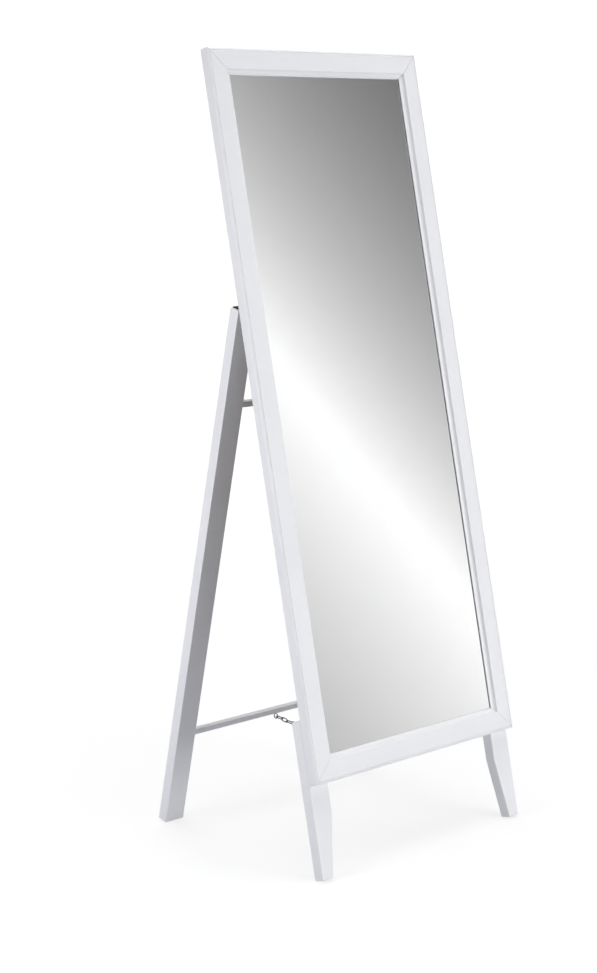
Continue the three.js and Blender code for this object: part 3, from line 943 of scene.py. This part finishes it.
def link_mesh():
    """A welded wire link, long along X and wide along Y, with a slight bead at its weld."""
    straight = LINK["half_length"] - LINK["half_width"]
    half_width = LINK["half_width"]
    weld_steps = 6
    outline = arc((straight, 0), half_width, -90, 90, 12) + arc((-straight, 0), half_width, 90, 270, 12)
    side = [(straight * (2 * i / weld_steps - 1), -half_width) for i in range(1, weld_steps)]
    points = [Vector((x, y, 0)) for x, y in outline + side]
    weld = len(points) - weld_steps // 2

    def radius_at(index, _angle):
        return LINK["wire"] * (1.1 if index == weld else 1.0)

    obj = make_object("link", sweep(points, radius_at, 12, closed=True), ROW)
    shade(obj)
    obj.data.materials.append(CHAIN_STEEL)
    mesh = obj.data
    bpy.data.objects.remove(obj)
    return mesh


def chain_curve():
    """Points of the sagging line between the two eyes in the row frame, and the length up to each."""
    front, rear = (joint_place(f"chain_{end}_swing", ROW) for end in ("front", "rear"))
    front.x = rear.x = 0
    lowest = (front + rear) / 2 - Vector((0, 0, 2 * CHAIN_SAG))
    points, lengths = [], [0.0]
    for step in range(CURVE_STEPS + 1):
        u = step / CURVE_STEPS
        points.append(front * (1 - u) ** 2 + lowest * 2 * u * (1 - u) + rear * u * u)
    for a, b in zip(points, points[1:]):
        lengths.append(lengths[-1] + (b - a).length)
    return points, lengths


def on_curve(points, lengths, along):
    """The point and direction at a length along the curve."""
    index = next(i for i, length in enumerate(lengths) if length >= along)
    share = (along - lengths[index - 1]) / (lengths[index] - lengths[index - 1])
    tangent = (points[index] - points[index - 1]).normalized()
    return points[index - 1].lerp(points[index], share), tangent


def add_chain():
    """The chain's two halves, link by link, each link turned a quarter against the one before."""
    points, lengths = chain_curve()
    mesh = link_mesh()
    across = Vector((1, 0, 0))
    for half, step in (("front", -1), ("rear", 1)):
        for i in range(CHAIN_LINKS[half]):
            along = LINK["first"] + i * LINK["pitch"]
            place, tangent = on_curve(points, lengths, along if step < 0 else lengths[-1] - along)
            place.x = step * (EYE_OFFSET + CHAIN_SPREAD * (along / lengths[-1]) * 2)
            normal = tangent.cross(across)
            columns = (tangent, normal, -across) if i % 2 else (tangent, across, normal)
            turn = Matrix(columns).transposed().to_4x4()
            obj = bpy.data.objects.new(f"chain_{half}_link_{i + 1:02d}", mesh)
            bpy.context.scene.collection.objects.link(obj)
            obj.matrix_world = Matrix.Translation(place * MM) @ turn
            dress(obj, f"chain_{half}_half", "chain_steel")


# ---- Studio -----------------------------------------------------------------------------------------

CAMERA_PLACE = Vector((-2.343, -2.4095, 1.176))
CAMERA_YAW = math.radians(43.0)
CAMERA_PITCH = math.radians(9.94)
CAMERA_LENS = 74.55


def add_camera():
    camera = bpy.data.cameras.new("camera")
    camera.lens = CAMERA_LENS
    obj = bpy.data.objects.new("camera", camera)
    bpy.context.scene.collection.objects.link(obj)
    obj.location = CAMERA_PLACE
    obj.rotation_euler = (math.pi / 2 - CAMERA_PITCH, 0, -CAMERA_YAW)
    bpy.context.scene.camera = obj


def show_only_to(obj, **rays):
    """Which kinds of ray see an object; any not named pass through it."""
    for ray in ("camera", "diffuse", "glossy", "transmission", "volume_scatter", "shadow"):
        setattr(obj, f"visible_{ray}", rays.get(ray, False))


def emission_material(name, strength, colour):
    """Plain light of one strength; the colour is a colour or a node's output in this tree."""
    material = bpy.data.materials.new(name)
    material.use_nodes = True
    tree = material.node_tree
    tree.nodes.clear()
    glow = add_node(tree, "ShaderNodeEmission", {"Strength": strength})
    surface = add_node(tree, "ShaderNodeOutputMaterial")
    tree.links.new(glow.outputs["Emission"], surface.inputs["Surface"])
    if callable(colour):
        tree.links.new(colour(tree), glow.inputs["Color"])
    else:
        glow.inputs["Color"].default_value = (*colour, 1.0)
    return material


BACKDROP_STRENGTH = 1.05
FLOOR_RADIUS = 14.0
HAZE_NEAR, HAZE_FAR = 0.6, 2.6          # between these the floor fades into the white backdrop
HAZE_HEIGHT = 0.4                       # above the floor, in millimetres
HAZE_SHARE = 0.65                       # in the middle


def floor_material(name, low, high):
    """A matt floor, finely mottled between two colours."""
    material, tree, shader = new_material(name)
    grit = noise(tree, (300.0,) * 3, 3.0)
    tone = blend_colours(tree, grit, low, high)
    set_shader(tree, shader, Base_Color=tone, Roughness=0.9, Specular_IOR_Level=0.1)
    return material


def haze_material():
    """Lets about a third of the floor through in the middle, and is as white as the backdrop further away."""
    material = emission_material("haze", BACKDROP_STRENGTH, (1, 1, 1))
    tree = material.node_tree
    place = add_node(tree, "ShaderNodeTexCoord").outputs["Object"]
    away = add_node(tree, "ShaderNodeVectorMath", {0: place}, operation="LENGTH").outputs["Value"]
    share = spread(tree, away, HAZE_SHARE, 1.0, HAZE_NEAR, HAZE_FAR)
    clear = add_node(tree, "ShaderNodeBsdfTransparent").outputs["BSDF"]
    surface = next(node for node in tree.nodes if node.type == "OUTPUT_MATERIAL").inputs["Surface"]
    glow = surface.links[0].from_socket
    mix = add_node(tree, "ShaderNodeMixShader", {0: share, 1: clear, 2: glow})
    tree.links.new(mix.outputs["Shader"], surface)
    return material


def disc(name, height, material):
    bm = bmesh.new()
    bmesh.ops.create_circle(bm, cap_ends=True, segments=96, radius=FLOOR_RADIUS / MM)
    obj = make_object(name, bm, moved(ROW, 0, 0, height))
    obj.data.materials.append(material)
    return obj


def ball(name, radius, material):
    bm = bmesh.new()
    bmesh.ops.create_uvsphere(bm, u_segments=48, v_segments=24, radius=radius / MM)
    obj = make_object(name, bm, ROW)
    obj.data.materials.append(material)
    return obj


def add_floor_and_backdrop():
    """The floor that is seen is pale; the one that throws light back up is darker."""
    floor = disc("floor", 0, floor_material("floor", (0.905,) * 3, (0.925,) * 3))
    under = disc("under_floor", -1.0, floor_material("under_floor", (0.60, 0.615, 0.65), (0.62, 0.635, 0.67)))
    haze = disc("haze", HAZE_HEIGHT, haze_material())
    white = emission_material("backdrop", BACKDROP_STRENGTH, (1, 1, 1))
    backdrop = ball("backdrop", FLOOR_RADIUS * 1.02, white)
    for seen in (floor, haze, backdrop):
        show_only_to(seen, camera=True)
    under.visible_camera = False


# The card that the mirror reflects towards the camera: a soft bright band slants across it, and it
# darkens on both sides of the band. Its gradient is in degrees, as the camera sees it in the mirror.
CARD_AZIMUTH = math.radians(45.3)
CARD_ELEVATION = math.radians(9.5)
CARD_DISTANCE = 6.6                     # from the camera's image in the mirror
CARD_HALF_SIZE = (0.95, 1.27)
CARD_BAND = (43.3, 12.2)                # azimuth and elevation of a point on the band
CARD_SLANT = math.atan2(0.35, 0.937)    # of the gradient's direction
CARD_BAND_EDGES = (-0.5, 0.1)           # of the bright band, in degrees along the gradient
CARD_FADE = (8.1, 4.3)                  # degrees that dim the card to 37%, below and above the band
CARD_STRENGTH = 1.085


def card_gradient(tree):
    """The card's tone: full in the band, and dying away on both sides of it."""
    per_degree = CARD_DISTANCE * math.radians(1.0)
    direction = (math.cos(CARD_SLANT), math.sin(CARD_SLANT))
    middle = (math.degrees(CARD_AZIMUTH) - CARD_BAND[0]) * direction[0]
    middle += (math.degrees(CARD_ELEVATION) - CARD_BAND[1]) * direction[1]
    place = add_node(tree, "ShaderNodeTexCoord").outputs["Object"]
    across = add_node(tree, "ShaderNodeVectorMath", {0: place, 1: (*direction, 0.0)},
                      operation="DOT_PRODUCT").outputs["Value"]
    angle = calculate(tree, "MULTIPLY_ADD", across, 1 / per_degree, middle)
    past = []
    for edge, fade in zip(CARD_BAND_EDGES, (-CARD_FADE[0], CARD_FADE[1])):
        share = calculate(tree, "MULTIPLY_ADD", angle, 1 / fade, -edge / fade)
        past.append(calculate(tree, "MAXIMUM", share, 0.0))
    dimming = calculate(tree, "ADD", *past)
    return calculate(tree, "EXPONENT", calculate(tree, "MULTIPLY", dimming, -1.0))


def add_reflected_card():
    normal = MIRROR.to_3x3() @ Vector((0, -1, 0))
    on_glass = MIRROR @ (turned_box("mirror_glass", MIRROR)[1] * MM)
    image = CAMERA_PLACE - 2 * (CAMERA_PLACE - on_glass).dot(normal) * normal
    flat = math.cos(CARD_ELEVATION)
    aim = Vector((math.sin(CARD_AZIMUTH) * flat, -math.cos(CARD_AZIMUTH) * flat, math.sin(CARD_ELEVATION)))
    right = Vector((math.cos(CARD_AZIMUTH), math.sin(CARD_AZIMUTH), 0))
    up = aim.cross(right)
    axes = Matrix((right, up, right.cross(up))).transposed().to_4x4()
    axes.translation = image + aim * CARD_DISTANCE
    half = Vector(CARD_HALF_SIZE) / MM
    outline = [(-half.x, -half.y), (half.x, -half.y), (half.x, half.y), (-half.x, half.y)]
    card = make_object("reflected_card", extrude(outline, 2, -5.0, 5.0), axes)
    card.data.materials.append(emission_material("reflected_card", CARD_STRENGTH, card_gradient))
    show_only_to(card, glossy=True, transmission=True)


def add_world():
    """Dim, even light from all round."""
    world = bpy.data.worlds.new("studio")
    bpy.context.scene.world = world
    world.use_nodes = True
    background = world.node_tree.nodes["Background"]
    background.inputs["Color"].default_value = (0.90, 0.93, 1.0, 1.0)
    background.inputs["Strength"].default_value = 0.12


def room_gradient(tree):
    """Bright near the horizon and dimmer overhead, in the room's own coordinates."""
    place = add_node(tree, "ShaderNodeTexCoord").outputs["Object"]
    height = add_node(tree, "ShaderNodeSeparateXYZ", {"Vector": place}).outputs["Z"]
    rise = spread(tree, height, 0.0, 1.0, 0.0, FLOOR_RADIUS * 0.6)
    return blend_colours(tree, rise, (0.86, 0.865, 0.875), (0.30, 0.31, 0.32))


def add_reflected_room():
    """What shiny surfaces reflect where the card isn't."""
    glow = emission_material("reflected_room", 1.0, room_gradient)
    room = ball("reflected_room", FLOOR_RADIUS * 1.05, glow)
    show_only_to(room, glossy=True, transmission=True)


def softbox(name, place, target, size, power, colour=(1, 1, 1)):
    light = bpy.data.lights.new(name, "AREA")
    light.shape = "RECTANGLE"
    light.size, light.size_y = size
    light.energy = power
    light.color = colour
    obj = bpy.data.objects.new(name, light)
    bpy.context.scene.collection.objects.link(obj)
    obj.location = place
    obj.rotation_euler = (Vector(target) - Vector(place)).to_track_quat("-Z", "Y").to_euler()
    obj.visible_camera = False


def add_lights():
    softbox("front_light", (1.3, -3.4, 1.0), (0, 0, 0.55), (2.2, 2.2), 82)
    softbox("left_light", (-1.75, 0.1, 0.85), (0, 0, 0.75), (0.9, 0.9), 15.5, (0.975, 0.975, 1.0))
    softbox("top_light", (0.2, 0.1, 4.4), (0, 0, 0), (3.2, 3.2), 135, (0.98, 0.98, 1.0))
    softbox("back_light", (0.3, 2.6, 2.4), (0, 0, 0.5), (2.5, 2.0), 20)


# ---- Assembly ---------------------------------------------------------------------------------------

def add_leg_screws():
    mesh = screw_mesh("leg_screw", **LEG_SCREW)
    for side in SIDES:
        add_screws(leg_screw_nodes(side), MIRROR, BACKWARD, mesh, ZINC, "zinc_steel")


add_camera()
add_frame()
add_mirror()
add_backing_board()
add_glazing_points()
add_corner_nails()
add_front_legs()
add_leg_screws()
add_rear_legs()
add_rungs()
add_dowels()
add_hinges()
screw_eye("frame_screw_eye", frame_eye_axes(), EYE_DEPTH["frame_screw_eye"])
screw_eye("rung_screw_eye", rung_eye_axes(), EYE_DEPTH["rung_screw_eye"])
add_chain()
add_floor_and_backdrop()
add_reflected_card()
add_reflected_room()
add_world()
add_lights()

bpy.context.scene.view_settings.view_transform = "Standard"
